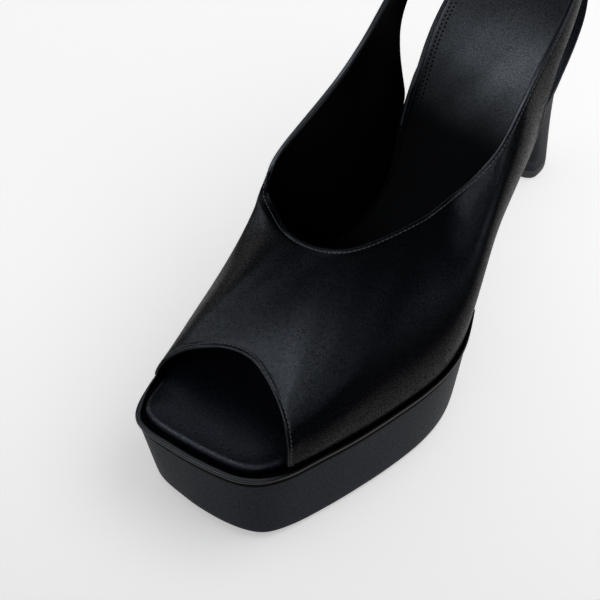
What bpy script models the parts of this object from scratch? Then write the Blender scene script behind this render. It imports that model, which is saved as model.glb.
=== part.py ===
"""Left platform sandal: sole, rim, insole, sock, sling-back upper, heel and heel tip.

Sizes are in millimetres. The toe points to -Y, the heel to +Y, the outer side of the
foot is +X and the floor is z = 0. The finished part stands centred on its footprint.
"""
import bpy
import numpy as np

MM = 0.001

# Build-up of the layers
SEAM_GAP = 0.3
OUTSOLE_THICK = 1.2
OUTSOLE_INSET = 3.0
INSOLE_THICK = 4.9
PAD_REACH = 2.6
PAD_DROP = 1.5
SOCK_THICK = 0.9
SOCK_INSET = ((-20, 1.4), (55, 1.4), (80, 2.7), (140, 2.7))
SOCK_FRONT = -15.0
RIM_HEIGHT = 1.8
RIM_WIDTH = 0.65
RIM_PROUD = 0.55
RIM_END_OUTER = 29.0
RIM_END_INNER = 9.0
WALL = 1.7
WALL_GAP = 0.8
HEEL_BREAST = 91.2
HEEL_SEAT_INSET = 1.6
TIP_HEIGHT = 5.0

# How finely the curves are cut
SOLE_POINTS = 84
UPPER_STEP = 4.6
RIB_STEPS = 8
RIM_SIDES = 8
EASE_ROUNDS = 14

# Height of the insole's top over the length: y, z
INSOLE_RISE = (
    (-82, 40.4), (-70, 39.9), (-55, 39.4), (-40, 39.3), (-10, 39.3), (0, 39.7),
    (10, 41.3), (20, 44.6), (30, 50.1), (44, 59.6), (58, 69.3), (71, 79.0),
    (85, 89.6), (92, 95.2), (100, 101.2), (110, 107.6), (120, 112.4), (130, 115.4),
    (140, 117.0),
)

# Height of the platform's underside over the length: y, z
UNDERSIDE = (
    (-82, 4.2), (-68, 2.7), (-55, 1.6), (-45, 1.5), (-20, 1.5), (6, 1.5), (15, 3.8),
    (25, 11.4), (35, 24.4), (45, 39.0), (55, 53.0), (65, 64.0), (75, 73.6), (92, 88.2),
)

# Platform edge from toe middle to heel breast: x, y under the rim, x, y at the ground
PLATFORM_OUTER = (
    (9.5, -79.2, 10.0, -77.7), (20.0, -78.1, 20.0, -77.5), (29.0, -76.2, 29.6, -75.9),
    (35.6, -72.2, 36.8, -72.6), (40.9, -65.0, 41.6, -65.2), (46.3, -52.0, 46.9, -52.4),
    (52.2, -37.0, 52.2, -37.4), (57.0, -20.9, 56.9, -21.2), (60.5, -7.0, 59.7, -7.0),
    (62.2, 6.0, 59.9, 4.5), (61.6, 15.0, 58.6, 13.0), (58.4, 24.0, 55.4, 21.5),
    (53.6, 34.5, 51.2, 31.5), (49.6, 47.0, 47.7, 45.0), (47.8, 60.0, 45.6, 60.0),
    (46.4, 75.0, 43.8, 75.0), (44.4, 86.0, 42.4, 86.0), (37.0, 89.3, 36.0, 89.3),
    (17.0, 89.6, 17.0, 89.6),
)
PLATFORM_INNER = (
    (9.5, -79.2, 10.0, -77.7), (-1.0, -79.2, 2.0, -76.8), (-9.6, -78.8, -5.6, -75.6),
    (-15.2, -76.6, -10.6, -73.4), (-17.8, -72.2, -13.0, -69.0), (-19.7, -65.0, -15.0, -62.5),
    (-21.5, -54.0, -17.4, -52.0), (-23.0, -40.0, -19.4, -39.0), (-23.6, -24.0, -20.0, -24.0),
    (-23.0, -8.0, -19.4, -9.0), (-19.6, 3.0, -16.2, 2.0), (-13.6, 12.0, -11.0, 11.0),
    (-6.6, 21.5, -4.8, 20.0), (-0.8, 33.0, 0.4, 31.0), (2.2, 46.0, 3.2, 44.0),
    (-1.4, 60.0, 1.0, 60.0), (-5.6, 75.0, -2.8, 75.0), (-6.8, 86.0, -5.2, 86.0),
    (0.0, 89.3, 1.0, 89.3), (17.0, 89.6, 17.0, 89.6),
)

# Insole edge from toe middle to heel middle: x, y
INSOLE_OUTER = (
    (9.5, -75.4), (19.3, -74.6), (27.5, -73.1), (33.0, -69.8), (37.0, -63.7),
    (42.7, -50.6), (48.7, -35.6), (53.5, -19.8), (57.0, -6.0), (58.6, 5.6), (58.0, 13.8),
    (55.0, 22.9), (50.7, 33.1), (47.4, 46.0), (45.8, 60.0), (45.2, 75.0), (44.8, 90.0),
    (43.5, 105.0), (40.0, 119.0), (33.4, 130.0), (25.4, 136.0), (16.5, 137.8),
)
INSOLE_INNER = (
    (9.5, -75.4), (-0.6, -75.8), (-9.0, -75.5), (-13.9, -73.8), (-16.3, -69.8),
    (-17.1, -63.0), (-18.3, -53.0), (-19.7, -39.5), (-20.3, -24.0), (-19.6, -9.0),
    (-16.2, 0.4), (-10.4, 9.6), (-3.8, 18.6), (1.9, 29.0), (5.0, 42.0), (3.6, 53.0),
    (-0.4, 63.0), (-4.3, 75.0), (-7.6, 87.0), (-9.0, 99.5), (-8.0, 111.0), (-4.0, 122.0),
    (2.0, 130.5), (8.6, 136.0), (16.5, 137.8),
)

# Upper, middle rib over the toes: edge at the peep toe, half way, edge at the throat
TOE_RIB = (15.0, -48.1, 62.4, 17.5, -27.4, 76.0, 20.0, -6.6, 86.5)

# Ribs that start at the peep-toe edge: edge x y z, half way x y z, throat x y z
TOE_OUTER = (
    (26.9, -52.8, 58.7, 27.8, -28.4, 75.0, 25.5, -2.5, 87.3),
    (36.6, -59.1, 54.7, 37.6, -29.6, 70.6, 30.2, 5.5, 87.8),
    (41.0, -62.7, 43.0, 43.6, -30.2, 66.0, 33.5, 12.0, 88.2),
)
TOE_INNER = (
    (5.2, -48.3, 62.0, 8.0, -28.5, 74.0, 13.0, -8.3, 84.5),
    (-5.6, -51.4, 57.5, -4.5, -30.0, 69.5, 3.2, -7.0, 81.5),
    (-15.0, -54.4, 49.5, -14.6, -31.0, 61.5, -5.5, -2.9, 78.2),
    (-20.3, -59.2, 41.4, -19.3, -30.0, 54.5, -11.8, 1.4, 76.1),
)

# Ribs that start at the lasted edge: y on the insole edge, half way x y z, topline x y z
SIDE_OUTER = (
    (-61.5, 47.0, -28.0, 61.8, 35.2, 16.5, 88.3), (-44.0, 51.4, -15.0, 62.3, 37.5, 22.5, 88.6),
    (-22.0, 55.3, 0.5, 63.2, 38.8, 29.0, 88.9), (-2.0, 57.7, 13.5, 65.0, 40.2, 35.0, 90.0),
    (15.0, 58.5, 24.5, 68.8, 42.6, 40.5, 93.0), (30.0, 56.3, 35.5, 73.8, 44.6, 45.8, 96.7),
    (48.0, 53.7, 48.5, 82.5, 46.8, 52.3, 102.4), (72.0, 51.0, 68.0, 96.0, 47.8, 64.5, 114.7),
)
SIDE_INNER = (
    (-59.5, -20.7, -28.5, 51.5, -14.5, 3.2, 75.4), (-44.0, -21.3, -20.0, 53.5, -18.8, 5.8, 75.0),
    (-22.0, -21.8, -7.0, 57.5, -22.0, 9.0, 75.8), (-4.0, -22.4, 4.0, 60.0, -24.0, 13.2, 78.2),
    (10.0, -20.2, 14.5, 63.0, -24.4, 18.8, 82.0), (24.0, -15.0, 25.0, 68.7, -22.9, 26.0, 87.3),
    (42.0, -10.9, 38.5, 77.5, -20.6, 35.5, 93.8), (60.0, -11.0, 52.5, 86.0, -17.5, 47.2, 103.0),
    (72.5, -12.6, 64.0, 93.5, -15.9, 57.0, 111.0),
)

# Quarter's back edge and sling strap: lower edge x y z, upper edge x y z
STRAP_OUTER = (
    (48.9, 77.0, 89.0, 47.8, 68.5, 117.8), (48.9, 80.5, 102.0, 47.5, 74.0, 122.2),
    (48.0, 87.0, 114.0, 46.9, 83.0, 128.4), (45.5, 100.0, 123.5, 45.2, 97.5, 137.0),
    (39.0, 117.0, 133.0, 39.0, 115.5, 145.7), (29.5, 128.5, 137.5, 30.0, 127.5, 149.5),
)
STRAP_INNER = (
    (-11.6, 76.0, 90.0, -15.6, 62.5, 115.0), (-14.2, 79.2, 102.0, -15.6, 69.5, 119.9),
    (-14.5, 85.5, 114.0, -15.3, 79.0, 126.4), (-13.2, 100.0, 124.0, -13.6, 97.0, 137.3),
    (-6.5, 117.5, 133.2, -6.7, 116.0, 145.7), (2.5, 128.0, 137.5, 2.3, 127.0, 149.5),
)
STRAP_BACK = (16.0, 132.5, 139.0, 16.0, 131.5, 151.0)
STRAP_BULGE = 0.8

# Heel from seat to ground: share of the height, width, length, middle x, middle y
HEEL_LEVELS = (
    (0.10, 41.0, 40.0, 17.2, 115.6), (0.25, 29.5, 31.0, 17.4, 120.0),
    (0.45, 21.0, 23.0, 17.4, 124.0), (0.70, 16.5, 18.0, 17.2, 127.4),
    (1.00, 16.0, 17.0, 17.0, 129.5),
)


def smooth(rows, at, steady=False):
    """Smooth curve through table rows, whose first column is the position."""
    rows = np.asarray(rows, float)
    knots = rows[:, 0]
    values = rows[:, 1:]
    slopes = np.gradient(values, knots, axis=0)
    if steady:
        climbs = np.diff(values, axis=0) / np.diff(knots)[:, None]
        limit = 3 * np.minimum(np.abs(climbs[:-1]), np.abs(climbs[1:]))
        level = climbs[:-1] * climbs[1:] <= 0
        slopes[1:-1] = np.where(level, 0, np.clip(slopes[1:-1], -limit, limit))
    at = np.clip(np.atleast_1d(np.asarray(at, float)), knots[0], knots[-1])
    seat = np.clip(np.searchsorted(knots, at, side="right") - 1, 0, len(knots) - 2)
    span = (knots[seat + 1] - knots[seat])[:, None]
    s = (at - knots[seat])[:, None] / span
    low = values[seat]
    high = values[seat + 1]
    ends = (2 * s**3 - 3 * s**2 + 1) * low + (3 * s**2 - 2 * s**3) * high
    turns = (s**3 - 2 * s**2 + s) * slopes[seat] + (s**3 - s**2) * slopes[seat + 1]
    return ends + span * turns


def insole_z(y):
    return smooth(INSOLE_RISE, y, steady=True)[:, 0]


def under_z(y):
    return smooth(UNDERSIDE, y, steady=True)[:, 0]


def deck_z(y):
    """Top of the platform, one seam below the insole."""
    return insole_z(y) - INSOLE_THICK - SEAM_GAP


def chord(points):
    """Running length along a row of points."""
    steps = np.linalg.norm(np.diff(points, axis=0), axis=1)
    return np.concatenate(([0.0], np.cumsum(steps)))


def half_edge(rows, count):
    """Even points along one side of an outline, both ends included."""
    rows = np.asarray(rows, float)
    dense = smooth(np.column_stack((chord(rows[:, :2]), rows)),
                   np.linspace(0, chord(rows[:, :2])[-1], 600))
    run = chord(dense[:, :2])
    pick = np.linspace(0, run[-1], count + 1)
    return np.column_stack([np.interp(pick, run, column) for column in dense.T])


def outline(outer, inner, count=SOLE_POINTS):
    """Closed outline: toe middle, outer side, heel middle, back along the inner side."""
    first = half_edge(outer, count // 2)
    second = half_edge(inner, count // 2)
    return np.vstack((first, second[-2:0:-1]))


def outward(ring):
    """Unit normals of a closed outline, pointing away from its inside."""
    along = np.roll(ring[:, :2], -1, axis=0) - np.roll(ring[:, :2], 1, axis=0)
    along /= np.linalg.norm(along, axis=1)[:, None]
    return np.column_stack((along[:, 1], -along[:, 0]))


def moved(ring, distance):
    """Outline moved along its normals, outwards for a positive distance."""
    return ring[:, :2] + outward(ring) * np.reshape(distance, (-1, 1))


def toward_spine(ring, share, front, back):
    """Outline drawn in toward the piece's middle line by a share of the way."""
    half = len(ring) // 2
    mate = np.concatenate(([0], np.arange(2 * half - 1, 0, -1)))
    middle = (ring + ring[mate]) / 2
    middle[:, 1] = np.clip(middle[:, 1], front, back)
    return ring + (middle - ring) * share


def raised(ring, height):
    return np.column_stack((ring, height))


class Solid:
    """Collects corner points and faces, then becomes one closed object."""

    def __init__(self, name):
        self.name = name
        self.points = []
        self.faces = []

    def add(self, ring):
        start = len(self.points)
        self.points.extend([tuple(p) for p in ring])
        return np.arange(start, start + len(ring))

    def band(self, low, high, closed=True):
        count = len(low)
        for i in range(count if closed else count - 1):
            j = (i + 1) % count
            self.faces.append((low[i], low[j], high[j], high[i]))

    def lid(self, ring, up=True):
        """Rungs from side to side over a ring that starts at the toe middle."""
        half = len(ring) // 2
        for i in range(half):
            face = [ring[i], ring[i + 1], ring[-i - 1], ring[-i]]
            if i == 0:
                face = [ring[0], ring[1], ring[-1]]
            if i == half - 1:
                face = [ring[i], ring[i + 1], ring[-i]]
            self.faces.append(tuple(face if up else face[::-1]))

    def stack(self, rings):
        """Rings from bottom to top with a lid on each end."""
        rows = [self.add(ring) for ring in rings]
        self.lid(rows[0], up=False)
        for low, high in zip(rows, rows[1:]):
            self.band(low, high)
        self.lid(rows[-1], up=True)


def make_platform():
    solid = Solid("platform")
    edge = outline(PLATFORM_OUTER, PLATFORM_INNER)
    top = edge[:, :2]
    foot = edge[:, 2:]
    rings = []
    for share in (0.75, 0.3):
        ring = toward_spine(foot, share, -60, 75)
        rings.append(raised(ring, under_z(ring[:, 1])))
    ring = moved(foot, -1.3)
    rings.append(raised(ring, under_z(ring[:, 1])))
    high = deck_z(top[:, 1])
    low = under_z(foot[:, 1])
    for share, inset in ((0.0, 0.3), (0.03, 0.0), (0.35, 0.0), (0.7, 0.0), (1.0, 0.0)):
        ring = moved(foot, -inset) * (1 - share) + top * share
        lift = 0.45 if share == 0.0 else 0.0
        rings.append(raised(ring, low * (1 - share) + high * share + lift))
    for share in (0.3, 0.75):
        ring = toward_spine(top, share, -60, 75)
        rings.append(raised(ring, deck_z(ring[:, 1])))
    solid.stack(rings)
    return solid


def make_outsole():
    solid = Solid("outsole")
    edge = outline(PLATFORM_OUTER, PLATFORM_INNER)
    foot = moved(edge[:, 2:], -OUTSOLE_INSET)
    rings = []
    for share, drop in ((0.75, 1.0), (0.3, 1.0), (0.0, 1.0), (0.0, 0.0), (0.3, 0.0), (0.75, 0.0)):
        ring = toward_spine(foot, share, -60, 75)
        rings.append(raised(ring, under_z(ring[:, 1]) - SEAM_GAP - drop * OUTSOLE_THICK))
    solid.stack(rings)
    return solid


def insole_top(ring, inset):
    """Padded top face: soft at the edge, level over the middle."""
    soft = np.clip(1 - inset / PAD_REACH, 0, 1) ** 2 * PAD_DROP
    return insole_z(ring[:, 1]) - soft


def make_insole():
    solid = Solid("insole")
    edge = outline(INSOLE_OUTER, INSOLE_INNER)
    base = insole_z(edge[:, 1])
    rings = []
    for share in (0.75, 0.3):
        ring = toward_spine(edge, share, -55, 118)
        rings.append(raised(ring, insole_z(ring[:, 1]) - INSOLE_THICK))
    ring = moved(edge, -0.7)
    rings.append(raised(ring, insole_z(ring[:, 1]) - INSOLE_THICK))
    rings.append(raised(edge, base - INSOLE_THICK + 0.7))
    rings.append(raised(edge, base - PAD_DROP))
    for inset in (0.5, 1.3, PAD_REACH):
        ring = moved(edge, -inset)
        rings.append(raised(ring, insole_top(ring, inset)))
    for share in (0.4, 0.8):
        ring = toward_spine(moved(edge, -PAD_REACH), share, -55, 118)
        rings.append(raised(ring, insole_z(ring[:, 1])))
    solid.stack(rings)
    return solid


def sock_edge(inset):
    """Sock outline: the insole's, drawn in and cut straight across under the vamp."""
    full = outline(INSOLE_OUTER, INSOLE_INNER, 400)
    ring = moved(full, -smooth(inset, full[:, 1], steady=True)[:, 0])
    half = len(ring) // 2
    sides = (ring[:half + 1], np.vstack((ring[:1], ring[:half - 1:-1])))
    halves = []
    for side in sides:
        kept = side[side[:, 1] > SOCK_FRONT]
        corner = np.array([[kept[0, 0], SOCK_FRONT]])
        middle = np.array([[18.0, SOCK_FRONT]])
        halves.append(np.vstack((middle, corner, kept)))
    count = SOLE_POINTS // 2
    even = []
    for side in halves:
        run = chord(side)
        pick = np.linspace(0, run[-1], count + 1)
        even.append(np.column_stack([np.interp(pick, run, c) for c in side.T]))
    return np.vstack((even[0], even[1][-2:0:-1]))


def make_sock():
    solid = Solid("sock")
    edge = sock_edge(SOCK_INSET)
    rings = []
    for share, lift in ((0.8, 0.0), (0.4, 0.0), (0.0, 0.0), (0.0, 1.0), (0.4, 1.0), (0.8, 1.0)):
        ring = toward_spine(edge, share, 0, 118)
        rings.append(raised(ring, insole_z(ring[:, 1]) + SEAM_GAP + lift * SOCK_THICK))
    solid.stack(rings)
    return solid


def make_rim():
    """Rolled leather bead round the platform's top edge, fading out at the waist."""
    solid = Solid("rim")
    outer = half_edge(PLATFORM_OUTER, 130)[:, :2]
    inner = half_edge(PLATFORM_INNER, 130)[:, :2]
    outer = outer[outer[:, 1] < RIM_END_OUTER]
    inner = inner[inner[:, 1] < RIM_END_INNER]
    track = np.vstack((inner[:0:-2], outer[::2]))
    along = np.gradient(track, axis=0)
    along /= np.linalg.norm(along, axis=1)[:, None]
    out = np.column_stack((along[:, 1], -along[:, 0]))
    run = chord(track)
    end = np.minimum(run, run[-1] - run)
    size = np.clip(0.45 + end / 18.0, 0, 1)
    rings = []
    for k in range(RIM_SIDES):
        turn = 2 * np.pi * (k + 0.5) / RIM_SIDES
        side = np.sign(np.cos(turn)) * abs(np.cos(turn)) ** 0.8
        rise = np.sign(np.sin(turn)) * abs(np.sin(turn)) ** 0.8
        reach = RIM_PROUD + (side - 1) / 2 * (RIM_WIDTH + RIM_PROUD) * size
        height = SEAM_GAP + (rise + 1) / 2 * RIM_HEIGHT * size
        place = track + out * reach[:, None]
        rings.append(raised(place, deck_z(track[:, 1]) + height))
    rows = np.array([solid.add(ring) for ring in rings])
    for k in range(RIM_SIDES):
        solid.band(rows[k], rows[(k + 1) % RIM_SIDES], closed=False)
    solid.faces.append(tuple(rows[:, 0]))
    solid.faces.append(tuple(rows[::-1, -1]))
    return solid


def lasted_edge(side_rows, y):
    """Outer face of the upper where it meets the insole's edge at a given y."""
    edge = half_edge(side_rows, 400)[:, :2]
    along = np.gradient(edge, axis=0)
    along /= np.linalg.norm(along, axis=1)[:, None]
    out = np.column_stack((along[:, 1], -along[:, 0]))
    if side_rows is INSOLE_INNER:
        out = -out
    place = edge + out * (WALL_GAP + WALL)
    keep = edge[:, 1] > -72
    order = np.argsort(edge[keep, 1])
    ys = edge[keep, 1][order]
    x = np.interp(y, ys, place[keep, 0][order])
    wide_y = np.interp(y, ys, place[keep, 1][order])
    return np.column_stack((x, wide_y, deck_z(wide_y) + SEAM_GAP))


def half_ribs(insole_rows, toe, side, strap):
    """Table of one side's ribs from the toe rib to the strap's back."""
    rows = [np.array(TOE_RIB)]
    rows.extend(np.array(row) for row in toe)
    first = len(rows)
    for row in side:
        rows.append(np.concatenate((lasted_edge(insole_rows, [row[0]])[0], row[1:])))
    last = len(rows) - 1
    for row in tuple(strap) + (STRAP_BACK,):
        low = np.array(row[:3])
        high = np.array(row[3:])
        away = np.array((low[0] - 16.0, low[1] - 85.0, 0.0))
        away /= np.linalg.norm(away)
        rows.append(np.concatenate((low, (low + high) / 2 + away * STRAP_BULGE, high)))
    return np.array(rows), first, last


def eased(loop):
    """Evens out a closed row of points without drawing it together."""
    for amount in (0.5, -0.52) * EASE_ROUNDS:
        loop = loop + amount * ((np.roll(loop, 1, axis=0) + np.roll(loop, -1, axis=0)) / 2 - loop)
    return loop


def ring_of_ribs():
    """Low, middle and high points of every rib, all the way round the upper."""
    halves = []
    for rows_of, toe, side, strap in (
            (INSOLE_OUTER, TOE_OUTER, SIDE_OUTER, STRAP_OUTER),
            (INSOLE_INNER, TOE_INNER, SIDE_INNER, STRAP_INNER)):
        rows, first, last = half_ribs(rows_of, toe, side, strap)
        halves.append((rows, first, last, rows_of, side))
    outer, inner = halves[0][0], halves[1][0]
    loop = np.vstack((outer, inner[-2::-1]))
    wrap = 4
    around = np.vstack((loop[-1 - wrap:-1], loop, loop[1:1 + wrap]))
    mean = (around[:, :3] + around[:, 3:6] + around[:, 6:]) / 3
    run = chord(mean)
    run -= run[wrap]
    table = np.column_stack((run, around))
    knots = run[wrap:wrap + len(loop)]
    count = int(round(knots[-1] / UPPER_STEP))
    at = np.linspace(0, knots[-1], count, endpoint=False)
    ribs = smooth(table, at)
    ribs[:, 3:6] = eased(ribs[:, 3:6])
    turn = len(outer) - 1
    for rows, first, last, rows_of, side in halves:
        places = knots[first:last + 1]
        if rows_of is INSOLE_INNER:
            index = [turn + len(inner) - 1 - k for k in range(first, last + 1)]
            places = knots[index]
        ys = [row[0] for row in side]
        order = np.argsort(places)
        table_y = np.column_stack((places[order], np.array(ys)[order]))
        held = (at >= places.min()) & (at <= places.max())
        ribs[held, :3] = lasted_edge(rows_of, smooth(table_y, at[held])[:, 0])
    return ribs


def make_upper():
    """Vamp, quarters and sling strap as one hollow ring with a real wall."""
    solid = Solid("upper")
    ribs = ring_of_ribs()
    low, mid, high = ribs[:, None, :3], ribs[:, None, 3:6], ribs[:, None, 6:]
    s = np.linspace(0, 1, RIB_STEPS + 1)[None, :, None]
    skin = low * (2 * s**2 - 3 * s + 1) + mid * 4 * (s - s**2) + high * (2 * s**2 - s)
    around = np.roll(skin, -1, axis=0) - np.roll(skin, 1, axis=0)
    upward = np.gradient(skin, axis=1)
    normal = np.cross(around, upward)
    normal /= np.linalg.norm(normal, axis=2)[:, :, None]
    lining = skin - normal * WALL
    out_rows = [solid.add(skin[:, k]) for k in range(RIB_STEPS + 1)]
    in_rows = [solid.add(lining[:, k]) for k in range(RIB_STEPS + 1)]
    for k in range(RIB_STEPS):
        solid.band(out_rows[k], out_rows[k + 1])
        solid.band(in_rows[k + 1], in_rows[k])
    solid.band(in_rows[0], out_rows[0])
    solid.band(out_rows[-1], in_rows[-1])
    return solid


def heel_ring(width, length, middle_x, middle_y, count=48):
    """Round-backed section with a flatter front, starting at the front middle."""
    turn = np.arange(count) / count * 2 * np.pi
    x = np.sin(turn)
    y = -np.cos(turn)
    y = np.where(y < 0, -np.abs(y) ** 0.55 * 0.92, y)
    return np.column_stack((middle_x + x * width / 2, middle_y + y * length / 2))


def seat_ring(count=48):
    """Heel seat: insole's edge behind the breast line, closed across the front."""
    ring = moved(outline(INSOLE_OUTER, INSOLE_INNER, 400), -HEEL_SEAT_INSET)
    half = len(ring) // 2
    sides = (ring[:half + 1], np.vstack((ring[:1], ring[:half - 1:-1])))
    even = []
    for side in sides:
        kept = side[side[:, 1] > HEEL_BREAST]
        corner = np.array([[kept[0, 0], HEEL_BREAST]])
        path = np.vstack(((17.0, HEEL_BREAST), corner, kept))
        run = chord(path)
        pick = np.linspace(0, run[-1], count // 2 + 1)
        even.append(np.column_stack([np.interp(pick, run, c) for c in path.T]))
    return np.vstack((even[0], even[1][-2:0:-1]))


def make_heel():
    solid = Solid("heel")
    seat = seat_ring()
    top = insole_z(seat[:, 1]) - INSOLE_THICK - SEAM_GAP
    ground = TIP_HEIGHT + SEAM_GAP
    rings = []
    for share, width, length, middle_x, middle_y in HEEL_LEVELS[::-1]:
        ring = heel_ring(width, length, middle_x, middle_y)
        height = top * (1 - share) + ground * share
        level = np.mean(height) * share + height * (1 - share)
        rings.append(raised(ring, level if share < 1 else np.full(len(ring), ground)))
    ring = toward_spine(rings[0][:, :2], 0.6, 120, 135)
    rings.insert(0, raised(ring, np.full(len(ring), ground)))
    rings.append(raised(moved(seat, -0.2), top - 2.5))
    rings.append(raised(seat, top - 0.4))
    for share in (0.02, 0.4, 0.8):
        ring = toward_spine(seat, share, 104, 124)
        rings.append(raised(ring, insole_z(ring[:, 1]) - INSOLE_THICK - SEAM_GAP))
    solid.stack(rings)
    return solid


def make_tip():
    solid = Solid("heel_tip")
    width, length, middle_x, middle_y = HEEL_LEVELS[-1][1:]
    ring = heel_ring(width, length, middle_x, middle_y)
    rings = []
    for inset, height in ((0.5, 0.0), (0.0, 0.6), (0.0, TIP_HEIGHT)):
        rings.append(raised(moved(ring, -inset), np.full(len(ring), height)))
    solid.stack(rings)
    return solid


def material(name, colour, roughness):
    made = bpy.data.materials.new(name)
    made.use_nodes = True
    shader = made.node_tree.nodes["Principled BSDF"]
    shader.inputs["Base Color"].default_value = (*colour, 1.0)
    shader.inputs["Roughness"].default_value = roughness
    return made


def main():
    for thing in list(bpy.data.objects):
        bpy.data.objects.remove(thing, do_unlink=True)
    pieces = (
        (make_outsole(), (0.016, 0.015, 0.015), 0.5),
        (make_platform(), (0.013, 0.014, 0.017), 0.4),
        (make_rim(), (0.012, 0.012, 0.013), 0.25),
        (make_insole(), (0.013, 0.014, 0.017), 0.45),
        (make_sock(), (0.014, 0.014, 0.016), 0.4),
        (make_upper(), (0.013, 0.014, 0.018), 0.38),
        (make_heel(), (0.013, 0.014, 0.017), 0.4),
        (make_tip(), (0.010, 0.010, 0.010), 0.6),
    )
    every = np.vstack([np.array(solid.points) for solid, colour, rough in pieces])
    middle = (every.min(axis=0) + every.max(axis=0)) / 2
    middle[2] = every[:, 2].min()
    for solid, colour, rough in pieces:
        points = (np.array(solid.points) - middle) * MM
        mesh = bpy.data.meshes.new(solid.name)
        mesh.from_pydata([tuple(p) for p in points], [],
                         [tuple(int(i) for i in face) for face in solid.faces])
        mesh.validate()
        mesh.materials.append(material(solid.name + "_skin", colour, rough))
        thing = bpy.data.objects.new(solid.name, mesh)
        bpy.context.scene.collection.objects.link(thing)


main()
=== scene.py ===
"""Looks of a left platform sandal: black satin, leather bead, padded insole and stitches.

The section tables are in millimetres in the shoemaker's frame: toe to -Y, heel to +Y, outer side
of the foot to +X, floor at z = 0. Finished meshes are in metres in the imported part's frame.
"""

import math

import bpy
import numpy as np
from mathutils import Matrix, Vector


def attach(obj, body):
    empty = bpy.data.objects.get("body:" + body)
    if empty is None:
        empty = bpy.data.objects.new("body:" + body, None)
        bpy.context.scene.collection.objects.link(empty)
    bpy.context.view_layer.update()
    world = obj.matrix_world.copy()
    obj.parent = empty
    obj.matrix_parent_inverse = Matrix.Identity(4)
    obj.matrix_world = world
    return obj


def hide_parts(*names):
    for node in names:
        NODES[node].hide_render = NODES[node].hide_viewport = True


bl_info = {
    "name": "Platform Sandal Looks",
    "version": (1, 0, 0),
    "blender": (4, 5, 0),
    "location": "View3D > Sidebar > Sandal",
    "description": "Dresses the packed sandal in satin and leather and sets its studio",
    "category": "Object",
}

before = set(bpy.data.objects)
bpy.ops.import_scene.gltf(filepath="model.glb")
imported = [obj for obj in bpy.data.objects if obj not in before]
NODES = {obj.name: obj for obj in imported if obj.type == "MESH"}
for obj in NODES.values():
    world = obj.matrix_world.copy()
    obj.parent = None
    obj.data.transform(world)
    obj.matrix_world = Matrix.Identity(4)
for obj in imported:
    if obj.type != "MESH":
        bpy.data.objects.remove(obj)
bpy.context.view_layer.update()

MM = 0.001
# Middle of the footprint in the shoemaker's frame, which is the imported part's origin
FOOT_CENTRE = np.array((19.143, 29.124, 0.0))

# Build-up shared with the solids
SEAM_GAP = 0.3
INSOLE_THICK = 4.9
WALL = 1.7
WALL_GAP = 0.8
RIB_STEP = 4.6
EASE_ROUNDS = 14
TOPLINE_EASE_ROUNDS = 8
# A round of easing draws a row of points together, then pushes it out again
EASE_STEPS = (0.5, -0.52)

# Points along each side of the insole: on its curve, for the upper's foot, and for its edge; and where
# the upper's foot can start
CURVE_POINTS = 600
LASTED_POINTS = 400
EDGE_POINTS = 300
LASTED_FRONT = -72.0

# Height of the insole's top over the length: y, z
INSOLE_RISE = (
    (-82, 40.4), (-70, 39.9), (-55, 39.4), (-40, 39.3), (-10, 39.3), (0, 39.7),
    (10, 41.3), (20, 44.6), (30, 50.1), (44, 59.6), (58, 69.3), (71, 79.0),
    (85, 89.6), (92, 95.2), (100, 101.2), (110, 107.6), (120, 112.4), (130, 115.4),
    (140, 117.0),
)

# Insole edge from toe middle to heel middle: x, y
INSOLE_OUTER = (
    (9.5, -75.4), (19.3, -74.6), (27.5, -73.1), (33.0, -69.8), (37.0, -63.7),
    (42.7, -50.6), (48.7, -35.6), (53.5, -19.8), (57.0, -6.0), (58.6, 5.6), (58.0, 13.8),
    (55.0, 22.9), (50.7, 33.1), (47.4, 46.0), (45.8, 60.0), (45.2, 75.0), (44.8, 90.0),
    (43.5, 105.0), (40.0, 119.0), (33.4, 130.0), (25.4, 136.0), (16.5, 137.8),
)
INSOLE_INNER = (
    (9.5, -75.4), (-0.6, -75.8), (-9.0, -75.5), (-13.9, -73.8), (-16.3, -69.8),
    (-17.1, -63.0), (-18.3, -53.0), (-19.7, -39.5), (-20.3, -24.0), (-19.6, -9.0),
    (-16.2, 0.4), (-10.4, 9.6), (-3.8, 18.6), (1.9, 29.0), (5.0, 42.0), (3.6, 53.0),
    (-0.4, 63.0), (-4.3, 75.0), (-7.6, 87.0), (-9.0, 99.5), (-8.0, 111.0), (-4.0, 122.0),
    (2.0, 130.5), (8.6, 136.0), (16.5, 137.8),
)

# Upper, middle rib over the toes: edge at the peep toe, half way, edge at the throat
TOE_RIB = (15.0, -48.1, 62.4, 17.5, -27.4, 76.0, 20.0, -6.6, 86.5)

# Ribs that start at the peep-toe edge: edge x y z, half way x y z, throat x y z
TOE_OUTER = (
    (26.9, -52.8, 58.7, 27.8, -28.4, 75.0, 25.5, -2.5, 87.3),
    (36.6, -59.1, 54.7, 37.6, -29.6, 70.6, 30.2, 5.5, 87.8),
    (41.0, -62.7, 43.0, 43.6, -30.2, 66.0, 33.5, 12.0, 88.2),
)
TOE_INNER = (
    (5.2, -48.3, 62.0, 8.0, -28.5, 74.0, 13.0, -8.3, 84.5),
    (-5.6, -51.4, 57.5, -4.5, -30.0, 69.5, 3.2, -7.0, 81.5),
    (-15.0, -54.4, 49.5, -14.6, -31.0, 61.5, -5.5, -2.9, 78.2),
    (-20.3, -59.2, 41.4, -19.3, -30.0, 54.5, -11.8, 1.4, 76.1),
)

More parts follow.
